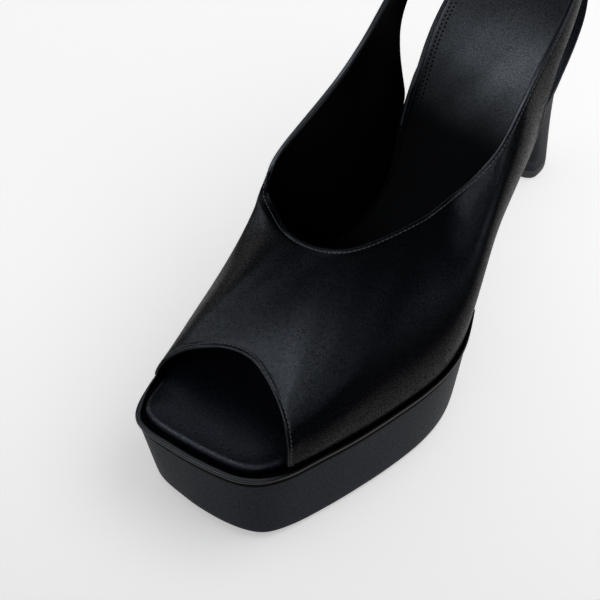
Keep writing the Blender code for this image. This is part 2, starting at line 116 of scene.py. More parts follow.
# Ribs that start at the lasted edge: y on the insole edge, half way x y z, topline x y z
SIDE_OUTER = (
    (-61.5, 47.0, -28.0, 61.8, 35.2, 16.5, 88.3), (-44.0, 51.4, -15.0, 62.3, 37.5, 22.5, 88.6),
    (-22.0, 55.3, 0.5, 63.2, 38.8, 29.0, 88.9), (-2.0, 57.7, 13.5, 65.0, 40.2, 35.0, 90.0),
    (15.0, 58.5, 24.5, 68.8, 42.6, 40.5, 93.0), (30.0, 56.3, 35.5, 73.8, 44.6, 45.8, 96.7),
    (48.0, 53.7, 48.5, 82.5, 46.8, 52.3, 102.4), (72.0, 51.0, 68.0, 96.0, 47.8, 64.5, 114.7),
)
SIDE_INNER = (
    (-59.5, -20.7, -28.5, 51.5, -14.5, 3.2, 75.4), (-44.0, -21.3, -20.0, 53.5, -18.8, 5.8, 75.0),
    (-22.0, -21.8, -7.0, 57.5, -22.0, 9.0, 75.8), (-4.0, -22.4, 4.0, 60.0, -24.0, 13.2, 78.2),
    (10.0, -20.2, 14.5, 63.0, -24.4, 18.8, 82.0), (24.0, -15.0, 25.0, 68.7, -22.9, 26.0, 87.3),
    (42.0, -10.9, 38.5, 77.5, -20.6, 35.5, 93.8), (60.0, -11.0, 52.5, 86.0, -17.5, 47.2, 103.0),
    (72.5, -12.6, 64.0, 93.5, -15.9, 57.0, 111.0),
)

# Quarter's back edge and sling strap: lower edge x y z, upper edge x y z
STRAP_OUTER = (
    (48.9, 77.0, 89.0, 47.8, 68.5, 117.8), (48.9, 80.5, 102.0, 47.5, 74.0, 122.2),
    (48.0, 87.0, 114.0, 46.9, 83.0, 128.4), (45.5, 100.0, 123.5, 45.2, 97.5, 137.0),
    (39.0, 117.0, 133.0, 39.0, 115.5, 145.7), (29.5, 128.5, 137.5, 30.0, 127.5, 149.5),
)
STRAP_INNER = (
    (-11.6, 76.0, 90.0, -15.6, 62.5, 115.0), (-14.2, 79.2, 102.0, -15.6, 69.5, 119.9),
    (-14.5, 85.5, 114.0, -15.3, 79.0, 126.4), (-13.2, 100.0, 124.0, -13.6, 97.0, 137.3),
    (-6.5, 117.5, 133.2, -6.7, 116.0, 145.7), (2.5, 128.0, 137.5, 2.3, 127.0, 149.5),
)
STRAP_BACK = (16.0, 132.5, 139.0, 16.0, 131.5, 151.0)
# How far the strap bulges half way up, away from the middle of the foot
STRAP_BULGE = 0.8
STRAP_MIDDLE = (16.0, 85.0)

# Upper's mesh: rows of points across a rib, by distance in from a free edge, and how many times
# their depth a rib needs before they are drawn together
EDGE_ROWS = (0.5, 0.8, 1.1, 1.35, 1.6, 1.85, 2.1, 2.45, 3.0, 3.8)
EDGE_ROOM = 2.4
MIDDLE_ROWS = 24
LINING_ROWS = 12

# Folded edge: turns of its points from the skin to the lining, the turn of its seam, and the size of
# that seam and the height of the fold as shares of half the wall
FOLD_TURNS = (18, 42, 66, 90, 112, 126, 142, 162)
FOLD_SEAM_TURN = 126
FOLD_SEAM = 0.84
FOLD_HEIGHT = 0.62

# Upper's ribs: points worked out up each one, ribs made for each one of the solid, over how many ribs
# the skin is evened, and how quickly that sets in from its edges
RIB_POINTS = 97
RIBS_BETWEEN = 4
BLEND_RIBS = 7.0
BLEND_RISE = 5.0

# Order of the upper's materials
SKIN, LINING, EDGE, FACING = range(4)

# Inner side's topline: shares round the upper where its roll starts, is full, fades and ends, how far
# the wall swells, how far below the edge and over what reach, and how far the edge turns in and its reach
ROLL_SPAN = (0.83, 0.88, 0.905, 0.955)
ROLL_SWELL = 0.75
ROLL_SWELL_BELOW = 4.0
ROLL_SWELL_REACH = 2.6
ROLL_TURN = 1.9
ROLL_TURN_REACH = 2.2

# Floor sheet: its size in metres, the painted light that it gives itself, the way back over the sheet,
# where that painted light grows along it, and its painted light levels at the front and the back
FLOOR_SIZE = 6.0
FLOOR_GLOW = 0.45
FLOOR_BACK = (-0.59, 0.81)
FLOOR_FADE = (-190.0, 60.0)
FLOOR_GLOW_LEVELS = (0.85, 1.25)

# Softboxes: name, azimuth and elevation, angles of width and height, distance, radiance, and
# whether the box shows in the gloss or lights the floor
SOFTBOXES = (
    ("crest_box", -12.0, 50.0, 22.0, 12.0, 1.2, 11.3, "gloss"),
    ("ball_box", 20.0, 56.0, 50.0, 12.0, 1.2, 5.5, "gloss"),
    ("toe_box", -28.0, 36.0, 26.0, 20.0, 1.2, 7.5, "gloss"),
    ("inner_box", -56.0, 30.0, 32.0, 26.0, 1.2, 4.7, "gloss"),
    ("low_box", -81.0, 13.0, 22.0, 28.0, 1.2, 3.2, "gloss"),
    ("front_box", 28.0, 37.0, 34.0, 20.0, 1.2, 3.9, "gloss"),
    ("outer_box", 51.0, 28.0, 12.0, 18.0, 1.2, 7.0, "gloss"),
    ("shank_box", 74.0, 25.0, 20.0, 46.0, 1.2, 1.6, "gloss"),
    ("quarter_box", 80.0, 5.0, 14.0, 10.0, 1.2, 6.0, "gloss"),
    ("side_box", 114.0, 6.0, 18.0, 10.0, 1.2, 16.7, "gloss"),
    ("back_box", -135.0, 62.0, 60.0, 26.0, 1.2, 2.0, "gloss"),
    ("overhead_box", 128.0, 60.0, 50.0, 45.0, 0.75, 1.30, "floor"),
)

# Black cards that keep the far floor out of the walls' gloss: name, azimuth, distance, width, height
FLAGS = (
    ("outer_flag", 80.0, 0.130, 0.30, 0.08),
    ("inner_flag", -105.0, 0.165, 0.30, 0.03),
)

# Tint of the boxes that show in the gloss, and where the camera starts to see, in metres
BOX_TINT = (0.87, 0.97, 1.12)
CAMERA_NEAR = 0.05

# Satin: distance between its twill lines, where they fade out on the inner wall, toward the strap
# and low down, the direction across them, size of its slubs, how far they push a line aside, size of its
# worn patches, and how strongly its threads bend the light
TWILL_PITCH = 0.74
TWILL_INNER = (-36.0, -20.0)
TWILL_BACK = (45.0, 10.0)
TWILL_LOW = (44.0, 60.0)
TWILL_SLANT = (0.16, 0.87, 0.46)
SLUB_SIZE = 0.45
SLUB_PUSH = 0.8
SATIN_WEAR = 9.0
SATIN_IOR = 1.25

# Satins: roughness and weight of the gloss, strength of the twill, contrast of the threads, and how
# many times lighter than the plain satin each copy's colour is; these lighter and darker copies of the
# one satin are painted sheen, standing in for its bluish reflections and highlights
SATINS = {
    "platform_satin": (0.40, 0.51, 0.05, 0.6, 4.3), "heel_satin": (0.40, 0.51, 0.05, 0.6, 4.3),
    "insole_satin": (0.36, 0.55, 0.05, 1.2, 2.5), "upper_satin": (0.29, 0.43, 0.25, 1.7, 0.7),
    "edge_satin": (0.24, 1.0, 0.1, 0.6, 2.0),
}

# Leathers: roughness, gloss, strength of the grain, and how many times lighter than the plain leather;
# the deck's copy is painted shade, and the lining's black is darkened further as painted shade inside the
# shoe
LEATHERS = {
    "deck_painted_shade": (0.55, 0.02, 0.25, 0.3), "lining_leather": (0.55, 0.02, 0.25, 0.3),
    "outsole_finish": (0.5, 0.1, 0.15, 1.0), "rim_leather": (0.30, 0.22, 0.10, 1.0),
    "sock_leather": (0.50, 0.009, 0.45, 0.7), "facing_leather": (0.45, 0.15, 0.30, 8.0),
}

# Sizes of the leather's grain cells, pores and worn patches, and of the rubber's and the paper's grain
GRAIN_SIZE = 0.75
PORE_SIZE = 0.4
LEATHER_WEAR = 12.0
RUBBER_GRAIN = 0.6
PAPER_GRAIN = 1.2

# Depth of threads and grain, and length and depth of one twist of the topstitch thread
RELIEF = 0.08
TWIST_PITCH = 0.30
TWIST_RELIEF = 0.04

# Smoothing of the solids' facets: distance in metres at which corners merge, how far two triangles of
# one quad may bend and lean, the bend of a sharp edge, how firmly it is held, levels of subdivision,
# and the bend that stays hard in the shading
MERGE = 1e-6
QUAD_BEND = math.radians(50)
QUAD_LEAN = math.radians(60)
SHARP_BEND = math.radians(50)
EDGE_CREASE = 1.0
SOFT_LEVELS = 2
HARD_BEND = math.radians(44)

# How far the bead is drawn down onto the platform in metres, so no light shows under it
BEAD_SINK = 0.0004

# Toe, in millimetres: how far the insole's front edge rolls off and over what distance, how much
# wider the bead is there than its solid, and where each fades out toward the waist
PAD_ROLL = 1.5
PAD_ROLL_REACH = 11.0
PAD_FADE = (-48.0, -62.0)
# Strip above the insole's underside that doesn't roll, and height over which the roll sets in
PAD_FOOT = 0.5
PAD_FOOT_FADE = 2.0
BEAD_WIDER = 1.2
BEAD_FADE = (-62.0, -74.0)

# Painted shade in the groove between the bead and the platform's wall: its reach down and where it ends,
# in millimetres, and how squarely a face of the deck, which gets the same painted shade, looks up
GROOVE = 1.6
GROOVE_END = 8.0
DECK_LEVEL = 0.8

# Rows of the lining that the leather facing takes up below the topline
FACING_ROWS = 1

# Sock's mesh: rings down its side by inset and by drop in thicknesses, rings by distance in from its
# edge, then shares of the way to the middle line, and where that line starts
SOCK_SIDE = ((0.5, 1.2), (0.0, 0.9), (0.0, 0.35))
SOCK_RINGS = (0.25, 0.7, 1.3, 2.0, 2.8, 3.8, 5.0)
SOCK_SHARES = (0.12, 0.25, 0.38, 0.52, 0.66, 0.8, 0.92)
SOCK_SPINE = 0.0
SOCK_POINTS = 420

# Sock's form: its inset over the length, its straight front and that front's middle, its thickness, and
# where its round heel starts, how far on it is full and how often it is eased
SOCK_INSET = ((-20, 1.4), (55, 1.4), (80, 2.7), (140, 2.7))
SOCK_FRONT = -15.0
SOCK_FRONT_MIDDLE = 18.0
SOCK_THICK = 0.9
SOCK_HEEL = 118.0
SOCK_HEEL_FADE = 10.0
SOCK_EASE_ROUNDS = 200

# Sock's padding: its crown, the share of it gained by each millimetre from the edge and by the middle,
# how far the cut edge dips and over what reach, and the pattern's length from the last ring inward
SOCK_CROWN = 1.2
SOCK_CROWN_RATE = 0.06
SOCK_CROWN_MIDDLE = 0.7
SOCK_LIP = 0.14
SOCK_LIP_REACH = 0.7
SOCK_PATTERN = 10

# Rows of needle holes: distance in from the sock's edge, shift along it in pitches; then a hole's
# radius, and its depth against the grain's, which also darkens the hole's colour as painted shade
HOLE_ROWS = ((1.6, 0.0), (3.1, 0.5))
HOLE_RADIUS = 0.38
HOLE_DEPTH = 2.0

# Sock's polish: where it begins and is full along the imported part, how far its border wanders, where
# the grain takes it, its roughness, and how it bends the light
SOCK_POLISH = (36.0, 76.0)
POLISH_WANDER = 4.0
POLISH_GRAIN = (0.2, 0.6)
POLISH_ROUGH = 0.36
SOCK_IOR = 1.36

# Topstitch: reach of the dent round a row, sides and bevel of one stitch, its slant and how far it
# stands out of the dent, the free share of an edge that is sewn, and steps to find the ways up and along
DENT_REACH = 0.45
STITCH_SIDES = 6
STITCH_BEVEL = 0.22
STITCH_SLANT = 0.10
STITCH_PROUD = 0.06
SEWN_SHARE = 0.6
STEP_UP = 0.6
STEP_ALONG = 0.4

# Soft troughs across the sock's padding, and ridges where the depth is negative: middle x, y, length
# along and across, turn, depth
SOCK_FOLDS = (
    (27.0, 79.0, 11.0, 3.0, 84.0, 0.27), (21.0, 86.0, 13.0, 4.2, 62.0, -0.20),
    (8.0, 70.0, 7.0, 2.6, -42.0, 0.25), (4.5, 94.0, 15.0, 2.0, 82.0, 0.14),
    (15.0, 78.0, 9.0, 3.6, 70.0, -0.12), (33.0, 92.0, 12.0, 3.2, 66.0, 0.15),
    (20.0, 62.0, 12.0, 4.0, 75.0, 0.12), (12.0, 108.0, 16.0, 4.0, 30.0, 0.10),
)

# Soft creases in the satin: share round the upper, share up the rib, reach of each, depth
UPPER_CREASES = (
    (0.165, 0.10, 0.010, 0.10, 0.16), (0.190, 0.12, 0.009, 0.10, 0.12),
    (0.225, 0.10, 0.010, 0.12, 0.15), (0.262, 0.14, 0.012, 0.12, 0.14),
    (0.300, 0.16, 0.012, 0.14, 0.18), (0.690, 0.20, 0.012, 0.16, 0.18),
    (0.730, 0.16, 0.012, 0.14, 0.20), (0.775, 0.12, 0.010, 0.12, 0.14),
)


class SandalSizes(bpy.types.PropertyGroup):
    """Sizes of the sewn detail."""
    stitch_pitch: bpy.props.FloatProperty(
        name="Stitch Pitch", description="Length of a stitch with its gap",
        default=0.00175, unit="LENGTH")
    stitch_length: bpy.props.FloatProperty(
        name="Stitch Length", description="Visible length of one stitch",
        default=0.00125, unit="LENGTH")
    stitch_width: bpy.props.FloatProperty(
        name="Stitch Width", description="Thickness of the thread",
        default=0.00034, unit="LENGTH")
    stitch_inset: bpy.props.FloatProperty(
        name="Stitch Inset", description="Distance of a stitch row from its edge",
        default=0.00185, unit="LENGTH")
    stitch_dent: bpy.props.FloatProperty(
        name="Stitch Dent", description="How deep a stitch row pulls the satin in",
        default=0.00016, unit="LENGTH")
    hole_pitch: bpy.props.FloatProperty(
        name="Hole Pitch", description="Distance between needle holes in the sock",
        default=0.00135, unit="LENGTH")


class SandalColours(bpy.types.PropertyGroup):
    """Colours of the sandal's materials."""
    satin: bpy.props.FloatVectorProperty(
        name="Satin", description="Black satin's own colour", subtype="COLOR", size=3,
        min=0.0, max=1.0, default=(0.0012, 0.0016, 0.0030))
    leather: bpy.props.FloatVectorProperty(
        name="Leather", description="Black leather's own colour", subtype="COLOR", size=3,
        min=0.0, max=1.0, default=(0.0010, 0.0010, 0.0011))
    thread: bpy.props.FloatVectorProperty(
        name="Thread", description="Colour of the topstitch thread", subtype="COLOR", size=3,
        min=0.0, max=1.0, default=(0.045, 0.047, 0.050))
    rubber: bpy.props.FloatVectorProperty(
        name="Rubber", description="Colour of the heel tip", subtype="COLOR", size=3,
        min=0.0, max=1.0, default=(0.006, 0.006, 0.006))
    floor: bpy.props.FloatVectorProperty(
        name="Floor", description="Pale studio floor", subtype="COLOR", size=3,
        min=0.0, max=1.0, default=(0.86, 0.86, 0.86))


class SandalStudio(bpy.types.PropertyGroup):
    """Camera and lights, placed round a point on the shoe."""
    aim: bpy.props.FloatVectorProperty(
        name="Aim", description="Point that the camera looks at", subtype="XYZ", unit="LENGTH",
        size=3, default=(-0.019143, -0.029124, 0.0345))
    azimuth: bpy.props.FloatProperty(
        name="Azimuth", description="Camera's turn from the toe towards the outer side",
        unit="ROTATION", default=math.radians(36.0))
    elevation: bpy.props.FloatProperty(
        name="Elevation", description="Camera's height above the horizon",
        unit="ROTATION", default=math.radians(53.0))
    distance: bpy.props.FloatProperty(
        name="Distance", description="Camera's distance from the aim", unit="LENGTH",
        default=0.85)
    lens: bpy.props.FloatProperty(
        name="Lens", description="Focal length in millimetres", default=140.25)
    sensor: bpy.props.FloatProperty(
        name="Sensor", description="Sensor width in millimetres", default=36.0)
    world_level: bpy.props.FloatProperty(
        name="World Level", description="Strength of the room's fill light", default=0.36)


def sizes():
    return bpy.context.scene.sandal_sizes


def colours():
    return bpy.context.scene.sandal_colours


def smooth(rows, at, steady=False):
    """Smooth curve through table rows, whose first column is the position."""
    rows = np.asarray(rows, float)
    knots = rows[:, 0]
    values = rows[:, 1:]
    slopes = np.gradient(values, knots, axis=0)
    if steady:
        climbs = np.diff(values, axis=0) / np.diff(knots)[:, None]
        limit = 3 * np.minimum(np.abs(climbs[:-1]), np.abs(climbs[1:]))
        level = climbs[:-1] * climbs[1:] <= 0
        slopes[1:-1] = np.where(level, 0, np.clip(slopes[1:-1], -limit, limit))
    at = np.clip(np.atleast_1d(np.asarray(at, float)), knots[0], knots[-1])
    seat = np.clip(np.searchsorted(knots, at, side="right") - 1, 0, len(knots) - 2)
    span = (knots[seat + 1] - knots[seat])[:, None]
    s = (at - knots[seat])[:, None] / span
    ends = (2 * s**3 - 3 * s**2 + 1) * values[seat] + (3 * s**2 - 2 * s**3) * values[seat + 1]
    turns = (s**3 - 2 * s**2 + s) * slopes[seat] + (s**3 - s**2) * slopes[seat + 1]
    return ends + span * turns


def faded(amount, start, full):
    """Soft rise from 0 to 1 between two amounts."""
    share = np.clip((amount - start) / (full - start), 0, 1)
    return share**2 * (3 - 2 * share)


def unit(vectors):
    """The same vectors with a length of 1."""
    return vectors / np.linalg.norm(vectors, axis=-1, keepdims=True)


def insole_z(y):
    """Height of the insole's top."""
    return smooth(INSOLE_RISE, y, steady=True)[:, 0]


def chord(points):
    """Running length along a row of points."""
    steps = np.linalg.norm(np.diff(points, axis=0), axis=1)
    return np.concatenate(([0.0], np.cumsum(steps)))


def on_line(points, run, at):
    """Points at given running lengths along a row of points."""
    return np.stack([np.interp(at, run, column) for column in points.T], axis=-1)


def even(points, count):
    """The same line with evenly spaced points, both ends included."""
    run = chord(points)
    return on_line(points, run, np.linspace(0, run[-1], count + 1))


def half_edge(rows, count):
    """Even points along one side of the insole, both ends included."""
    rows = np.asarray(rows, float)
    run = chord(rows)
    return even(smooth(np.column_stack((run, rows)), np.linspace(0, run[-1], CURVE_POINTS)), count)


def outward(ring):
    """Unit normals of a closed outline, pointing away from its inside."""
    along = unit(np.roll(ring, -1, axis=0) - np.roll(ring, 1, axis=0))
    return np.column_stack((along[:, 1], -along[:, 0]))


def toward_spine(ring, share, front, back):
    """Outline drawn in toward the piece's middle line by a share of the way."""
    half = len(ring) // 2
    mate = np.concatenate(([0], np.arange(2 * half - 1, 0, -1)))
    middle = (ring + ring[mate]) / 2
    for past, end in ((middle[:, 1] < front, front), (middle[:, 1] > back, back)):
        middle[past] = middle[np.abs(middle[:, 1] - end).argmin()]
    return ring + (middle - ring) * share


def lasted_edge(side_rows, y):
    """Outer face of the upper where it meets the insole's edge at a given y."""
    edge = half_edge(side_rows, LASTED_POINTS)
    along = unit(np.gradient(edge, axis=0))
    out = np.column_stack((along[:, 1], -along[:, 0]))
    if side_rows is INSOLE_INNER:
        out = -out
    place = edge + out * (WALL_GAP + WALL)
    keep = edge[:, 1] > LASTED_FRONT
    order = np.argsort(edge[keep, 1])
    ys = edge[keep, 1][order]
    x = np.interp(y, ys, place[keep, 0][order])
    wide_y = np.interp(y, ys, place[keep, 1][order])
    return np.column_stack((x, wide_y, insole_z(wide_y) - INSOLE_THICK))


def half_ribs(insole_rows, toe, side, strap):
    """Table of one side's ribs from the toe rib to the strap's back."""
    rows = [np.array(TOE_RIB)]
    rows.extend(np.array(row) for row in toe)
    first = len(rows)
    for row in side:
        rows.append(np.concatenate((lasted_edge(insole_rows, [row[0]])[0], row[1:])))
    last = len(rows) - 1
    for row in tuple(strap) + (STRAP_BACK,):
        low = np.array(row[:3])
        high = np.array(row[3:])
        away = unit(np.append(low[:2] - STRAP_MIDDLE, 0.0))
        rows.append(np.concatenate((low, (low + high) / 2 + away * STRAP_BULGE, high)))
    return np.array(rows), first, last


def eased(loop, rounds):
    """Evens out a closed row of points without drawing it together."""
    for amount in EASE_STEPS * rounds:
        loop = loop + amount * ((np.roll(loop, 1, axis=0) + np.roll(loop, -1, axis=0)) / 2 - loop)
    return loop


def evened(grid):
    """Grid of ribs, each blended with its neighbours without drawing the ring together."""
    waves = np.fft.fftfreq(len(grid)) * 2 * np.pi
    kept = np.exp(-(waves * BLEND_RIBS)**2 / 2)
    kept = kept * (2 - kept)
    return np.fft.ifft(np.fft.fft(grid, axis=0) * kept[:, None, None], axis=0).real


def finer(loop, factor):
    """A closed row of points with more points, on a smooth curve through all of them."""
    at = np.arange(len(loop) * factor) / factor
    seat = at.astype(int)
    s = (at - seat)[:, None]
    a, b, c, d = (loop[(seat + step) % len(loop)] for step in (-1, 0, 1, 2))
    return 0.5 * (2 * b + (c - a) * s + (2 * a - 5 * b + 4 * c - d) * s**2
                  + (3 * b - a - 3 * c + d) * s**3)


def ring_of_ribs():
    """Low, middle and high points of the upper's ribs, and which of them have a free lower edge."""
    halves = []
    for rows_of, toe, side, strap in (
            (INSOLE_OUTER, TOE_OUTER, SIDE_OUTER, STRAP_OUTER),
            (INSOLE_INNER, TOE_INNER, SIDE_INNER, STRAP_INNER)):
        rows, first, last = half_ribs(rows_of, toe, side, strap)
        halves.append((rows, first, last, rows_of, side))
    outer, inner = halves[0][0], halves[1][0]
    loop = np.vstack((outer, inner[-2::-1]))
    wrap = 4
    around = np.vstack((loop[-1 - wrap:-1], loop, loop[1:1 + wrap]))
    run = chord((around[:, :3] + around[:, 3:6] + around[:, 6:]) / 3)
    run -= run[wrap]
    table = np.column_stack((run, around))
    knots = run[wrap:wrap + len(loop)]
    count = int(round(knots[-1] / RIB_STEP))
    at = np.linspace(0, knots[-1], count, endpoint=False)
    ribs = smooth(table, at)
    ribs[:, 3:6] = eased(ribs[:, 3:6], EASE_ROUNDS)
    ribs[:, 6:] = eased(ribs[:, 6:], TOPLINE_EASE_ROUNDS)
    free = np.ones(count)
    turn = len(outer) - 1
    for rows, first, last, rows_of, side in halves:
        places = knots[first:last + 1]
        if rows_of is INSOLE_INNER:
            places = knots[[turn + len(inner) - 1 - k for k in range(first, last + 1)]]
        order = np.argsort(places)
        ys = np.array([row[0] for row in side])
        held = (at >= places.min()) & (at <= places.max())
        base_y = smooth(np.column_stack((places[order], ys[order])), at[held])[:, 0]
        ribs[held, :3] = lasted_edge(rows_of, base_y)
        free[held] = 0.0
    ribs = finer(ribs, RIBS_BETWEEN)
    free = np.clip(finer(free[:, None], RIBS_BETWEEN)[:, 0], 0, 1)
    return ribs, free


class Upper:
    """The upper's outer skin as a surface: rib by rib, with distances in millimetres."""

    def __init__(self):
        ribs, self.free = ring_of_ribs()
        low, mid, high = ribs[:, None, :3], ribs[:, None, 3:6], ribs[:, None, 6:]
        s = np.linspace(0, 1, RIB_POINTS)[None, :, None]
        dense = low * (2 * s**2 - 3 * s + 1) + mid * 4 * (s - s**2) + high * (2 * s**2 - s)
        self.dense = dense + (evened(dense) - dense) * np.minimum(1, BLEND_RISE * s * (1 - s))
        steps = np.linalg.norm(np.diff(self.dense, axis=1), axis=2)
        self.up = np.concatenate((np.zeros((len(ribs), 1)), np.cumsum(steps, axis=1)), axis=1)
        self.tall = self.up[:, -1]
        self.dense = self.dense + skin_normals(self.dense) * self.roll()[:, :, None]

    def roll(self):
        """How far the skin swells and then turns in toward the topline, along the inner side."""
        share = (np.arange(len(self.tall)) / len(self.tall))[:, None]
        start, full, fade, end = ROLL_SPAN
        here = faded(share, start, full) * faded(share, end, fade)
        above = self.tall[:, None] - self.up
        swell = ROLL_SWELL * np.exp(-((above - ROLL_SWELL_BELOW) / ROLL_SWELL_REACH)**2)
        return here * (swell - ROLL_TURN * np.exp(-(above / ROLL_TURN_REACH)**2))

    def at(self, heights):
        """Points at given distances up each rib; one row of distances per rib."""
        return np.stack([on_line(*rib) for rib in zip(self.dense, self.up, heights)])

    def heights(self):
        """Distances up every rib at which the outer skin has points."""
        edge = np.array(EDGE_ROWS)
        inner = np.linspace(0, 1, MIDDLE_ROWS + 2)[1:-1]
        rows = []
        for tall in self.tall:
            reach = min(1.0, tall / (EDGE_ROOM * edge[-1]))
            near = edge * reach
            rows.append(np.concatenate((near, near[-1] + inner * (tall - 2 * near[-1]),
                                        tall - near[::-1])))
        return np.array(rows)


def skin_normals(grid):
    """Unit normals of a grid of ribs, pointing out of the shoe."""
    around = np.roll(grid, -1, axis=0) - np.roll(grid, 1, axis=0)
    upward = np.gradient(grid, axis=1)
    return unit(np.cross(around, upward))


def creased(grid, normal, heights, upper):
    """Skin with its stitch rows drawn in and its soft creases."""
    inset = sizes().stitch_inset / MM
    dent = sizes().stitch_dent / MM
    above = upper.tall[:, None] - heights
    sink = dent * np.exp(-((above - inset) / DENT_REACH)**2)
    sink = sink + dent * np.exp(-((heights - inset) / DENT_REACH)**2) * upper.free[:, None]
    share_round = (np.arange(len(grid)) / len(grid))[:, None]
    share_up = heights / upper.tall[:, None]
    for place, level, wide, high, depth in UPPER_CREASES:
        sink = sink + depth * np.exp(-((share_round - place) / wide)**2
                                     - ((share_up - level) / high)**2)
    return grid - normal * sink[:, :, None]


def placed(points):
    """Points of the shoemaker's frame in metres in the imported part's frame."""
    return (np.asarray(points, float).reshape(-1, 3) - FOOT_CENTRE) * MM


def mesh_piece(name, points, faces, materials, uv=None, slots=None, turn=None):
    """A new object from corner points and faces, smooth shaded, with its pattern coordinates.

    Where the pattern comes round on itself, turn is its length, so the last face runs on.
    """
    mesh = bpy.data.meshes.new(name)
    mesh.from_pydata(points.tolist(), [], [tuple(int(i) for i in face) for face in faces])
    for made in materials:
        mesh.materials.append(made)
    mesh.polygons.foreach_set("use_smooth", np.ones(len(mesh.polygons), bool))
    if slots is not None:
        mesh.polygons.foreach_set("material_index", np.asarray(slots, np.int32))
    if uv is not None:
        corners = np.empty(len(mesh.loops), np.int32)
        mesh.loops.foreach_get("vertex_index", corners)
        layer = mesh.uv_layers.new(name="Weave")
        pattern = np.asarray(uv, np.float32)[corners]
        if turn is not None:
            starts = np.empty(len(mesh.polygons), np.int32)
            mesh.polygons.foreach_get("loop_start", starts)
            sides = np.diff(np.append(starts, len(corners)))
            farthest = np.repeat(np.maximum.reduceat(pattern[:, 0], starts), sides)
            pattern[farthest - pattern[:, 0] > turn / 2, 0] += turn
        layer.data.foreach_set("uv", pattern.ravel())
    mesh.update()
    piece = bpy.data.objects.new(name, mesh)
    bpy.context.scene.collection.objects.link(piece)
    return piece


def grid_faces(columns, rows):
    """Quads of a grid whose columns close round the shoe; points run column by column."""
    i = np.arange(columns)[:, None]
    k = np.arange(rows - 1)[None, :]
    j = (i + 1) % columns
    quad = np.stack((i * rows + k, j * rows + k, j * rows + k + 1, i * rows + k + 1), axis=-1)
    return quad.reshape(-1, 4)


def only(piece):
    """Makes one object the selected and active one."""
    bpy.ops.object.select_all(action="DESELECT")
    piece.select_set(True)
    bpy.context.view_layer.objects.active = piece


def rounded_copy(node, name, made):
    """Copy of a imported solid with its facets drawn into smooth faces."""
    piece = bpy.data.objects.new(name, NODES[node].data.copy())
    bpy.context.scene.collection.objects.link(piece)
    only(piece)
    bpy.ops.object.mode_set(mode="EDIT")
    bpy.ops.mesh.select_all(action="SELECT")
    bpy.ops.mesh.remove_doubles(threshold=MERGE)
    bpy.ops.mesh.tris_convert_to_quads(face_threshold=QUAD_BEND, shape_threshold=QUAD_LEAN)
    bpy.ops.mesh.select_all(action="DESELECT")
    bpy.ops.mesh.edges_select_sharp(sharpness=SHARP_BEND)
    bpy.ops.transform.edge_crease(value=EDGE_CREASE)
    bpy.ops.mesh.select_all(action="DESELECT")
    bpy.ops.object.mode_set(mode="OBJECT")
    soft = piece.modifiers.new("Soft", "SUBSURF")
    soft.levels = SOFT_LEVELS
    soft.render_levels = SOFT_LEVELS
    bpy.ops.object.modifier_apply(modifier="Soft")
    bpy.ops.object.shade_smooth_by_angle(angle=HARD_BEND)
    piece.data.materials.clear()
    piece.data.materials.append(made)
    dress(piece, node, node)
    return piece


def vectors_of(items, name):
    """A vector of every point or face of a mesh, one to a row."""
    values = np.empty(len(items) * 3)
    items.foreach_get(name, values)
    return values.reshape(-1, 3)


def reshape(piece, change):
    """Moves a piece's points by what a function of their places and normals gives, in millimetres."""
    points = vectors_of(piece.data.vertices, "co") / MM
    normals = vectors_of(piece.data.vertex_normals, "vector")
    moved = points + change(points + FOOT_CENTRE, normals)
    piece.data.vertices.foreach_set("co", (moved * MM).ravel())
    piece.data.update()


def to_insole(points):
    """Level way from each point to the nearest one on the insole's edge."""
    edge = np.vstack([half_edge(rows, EDGE_POINTS) for rows in (INSOLE_OUTER, INSOLE_INNER)])
    gaps = edge[None] - points[:, None, :2]
    nearest = np.argmin((gaps**2).sum(axis=2), axis=1)
    return gaps[np.arange(len(points)), nearest]


def wider_bead(points, normals):
    """Bead widened inward at the toe, about its outer side."""
    way = unit(to_insole(points))
    inside = 0.5 + 0.5 * (way * normals[:, :2]).sum(axis=1)
    step = BEAD_WIDER * inside * faded(points[:, 1], *BEAD_FADE)
    return np.column_stack((way * step[:, None], np.zeros(len(points))))


def rolled_front(points, normals):
    """Insole's top rolled off further toward its front edge."""
    away = np.linalg.norm(to_insole(points), axis=1)
    roll = np.clip(1 - away / PAD_ROLL_REACH, 0, 1)**2 * faded(points[:, 1], *PAD_FADE)
    below = insole_z(points[:, 1]) - points[:, 2]
    roll = roll * np.clip((INSOLE_THICK - PAD_FOOT - below) / PAD_FOOT_FADE, 0, 1)
    return np.column_stack((np.zeros((len(points), 2)), -PAD_ROLL * roll))


def paint_deck_and_groove_shade(faces):
    """Gives the platform's deck and the groove under the bead its second material, a dark painted shade.
    """
    x, y, z = (vectors_of(faces, "center") / MM + FOOT_CENTRE).T
    below = insole_z(y) - INSOLE_THICK - SEAM_GAP - z
    deck = vectors_of(faces, "normal")[:, 2] > DECK_LEVEL
    groove = (below < GROOVE) & (y < GROOVE_END)
    faces.foreach_set("material_index", (deck | groove).astype(np.int32))


def dress(piece, slot, *nodes):
    """Rides on the one body and stands for its solids. Its slot is not used."""
    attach(piece, "root")
    if nodes:
        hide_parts(*nodes)


